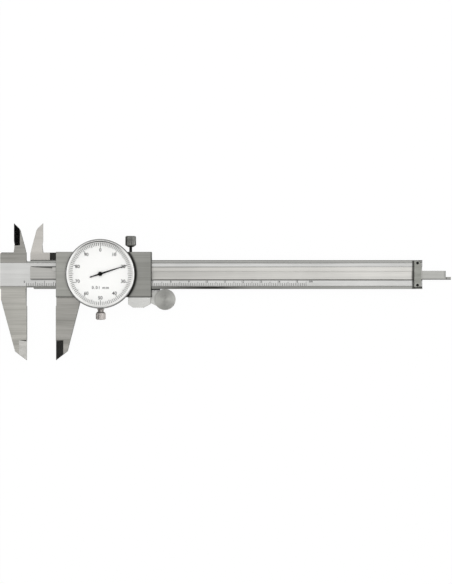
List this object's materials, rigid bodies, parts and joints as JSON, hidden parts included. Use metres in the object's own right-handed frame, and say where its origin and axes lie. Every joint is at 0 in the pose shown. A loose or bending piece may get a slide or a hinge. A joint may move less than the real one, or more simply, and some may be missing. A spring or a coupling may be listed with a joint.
{
  "type": "dial caliper",
  "caption": "Sliding caliper with outside and inside jaws, depth rod, thumb roller and a rack-driven dial on the slide.",
  "frame": {"origin": "on the slide's back face, which it lies on: below the dial's axis along the beam, and on the beam's centre line, with the jaws 16.2 mm open", "axes": "+X along the beam towards the depth rod, +Y across the beam towards the inside jaws, +Z out of the dial"},
  "size_m": [0.2504, 0.0762, 0.0156],
  "materials": {
    "ground_steel": "ground satin",
    "satin_steel": "brushed along the beam",
    "bright_steel": "turned and polished",
    "dark_steel": "turned",
    "black_steel": "black oxide",
    "chrome": "satin chrome",
    "brass": "machined",
    "clear_crystal": "clear acrylic",
    "dial_enamel": "white enamel",
    "hand_black": "black paint",
    "wiper_rubber": "matt"
  },
  "bodies": {
    "beam": {"beam": "ground_steel", "rack": "ground_steel", "end_plate": "satin_steel", "end_plate_screws": "black_steel"},
    "slide": {"slide_body": "satin_steel", "cover_plate": "satin_steel", "cover_screws": "dark_steel", "back_plate": "satin_steel", "back_plate_screws": "dark_steel", "gib_strip": "brass", "gib_set_screws": "black_steel", "depth_rod": "ground_steel", "depth_rod_screws": "dark_steel", "thumb_rest": "bright_steel", "roller_bracket": "bright_steel", "bracket_screws": "dark_steel", "edge_wiper": "wiper_rubber", "dial_case": "satin_steel", "case_screws": "dark_steel", "lower_bushes": "brass", "bridge_pillars": "brass", "movement_bridge": "brass", "bridge_screws": "dark_steel", "upper_bushes": "brass", "bezel_spring": "dark_steel", "brake_plug": "brass"},
    "roller": {"thumb_roller": "bright_steel", "roller_clip": "black_steel"},
    "lock": {"lock_screw": "dark_steel"},
    "clamp": {"clamp_screw": "bright_steel"},
    "gear_train": {"pinion_shaft": "dark_steel", "drive_gear": "brass", "takeup_gear": "brass", "takeup_spring": "dark_steel"},
    "pointer": {"centre_arbor": "dark_steel", "hand": "hand_black"},
    "dial_bezel": {"bezel": "chrome", "crystal": "clear_crystal", "spacer_ring": "chrome", "dial_plate": "dial_enamel", "dial_clip": "dark_steel"}
  },
  "joints": [
    {"name": "slide_travel", "type": "slide", "parent": "beam", "child": "slide", "axis": [1, 0, 0], "range_m": [-0.0162, 0.1388]},
    {"name": "roller_turn", "type": "hinge", "parent": "slide", "child": "roller", "pos_m": [0.0354, -0.01378, 0.00355], "axis": [0, 0, 1], "continuous": true},
    {"name": "gear_turn", "type": "hinge", "parent": "slide", "child": "gear_train", "pos_m": [0.00825, 0.00035, 0.0095], "axis": [0, 0, 1], "continuous": true},
    {"name": "hand_turn", "type": "hinge", "parent": "slide", "child": "pointer", "pos_m": [0, 0.00035, 0.0131], "axis": [0, 0, 1], "continuous": true},
    {"name": "bezel_turn", "type": "hinge", "parent": "slide", "child": "dial_bezel", "pos_m": [0, 0.00035, 0.0131], "axis": [0, 0, 1], "continuous": true},
    {"name": "lock_turn", "type": "hinge", "parent": "slide", "child": "lock", "pos_m": [0.01625, 0.01255, 0.00355], "axis": [0, 1, 0], "range_deg": [-90, 360]},
    {"name": "clamp_turn", "type": "hinge", "parent": "slide", "child": "clamp", "pos_m": [0, -0.02, 0.0089], "axis": [0, -1, 0], "range_deg": [-90, 270]}
  ],
  "couplings": [
    {"joint": "roller_turn", "follows": "slide_travel", "rad_per_m": 173.91},
    {"joint": "gear_turn", "follows": "slide_travel", "rad_per_m": 628.32},
    {"joint": "hand_turn", "follows": "slide_travel", "rad_per_m": -6283.2}
  ]
}
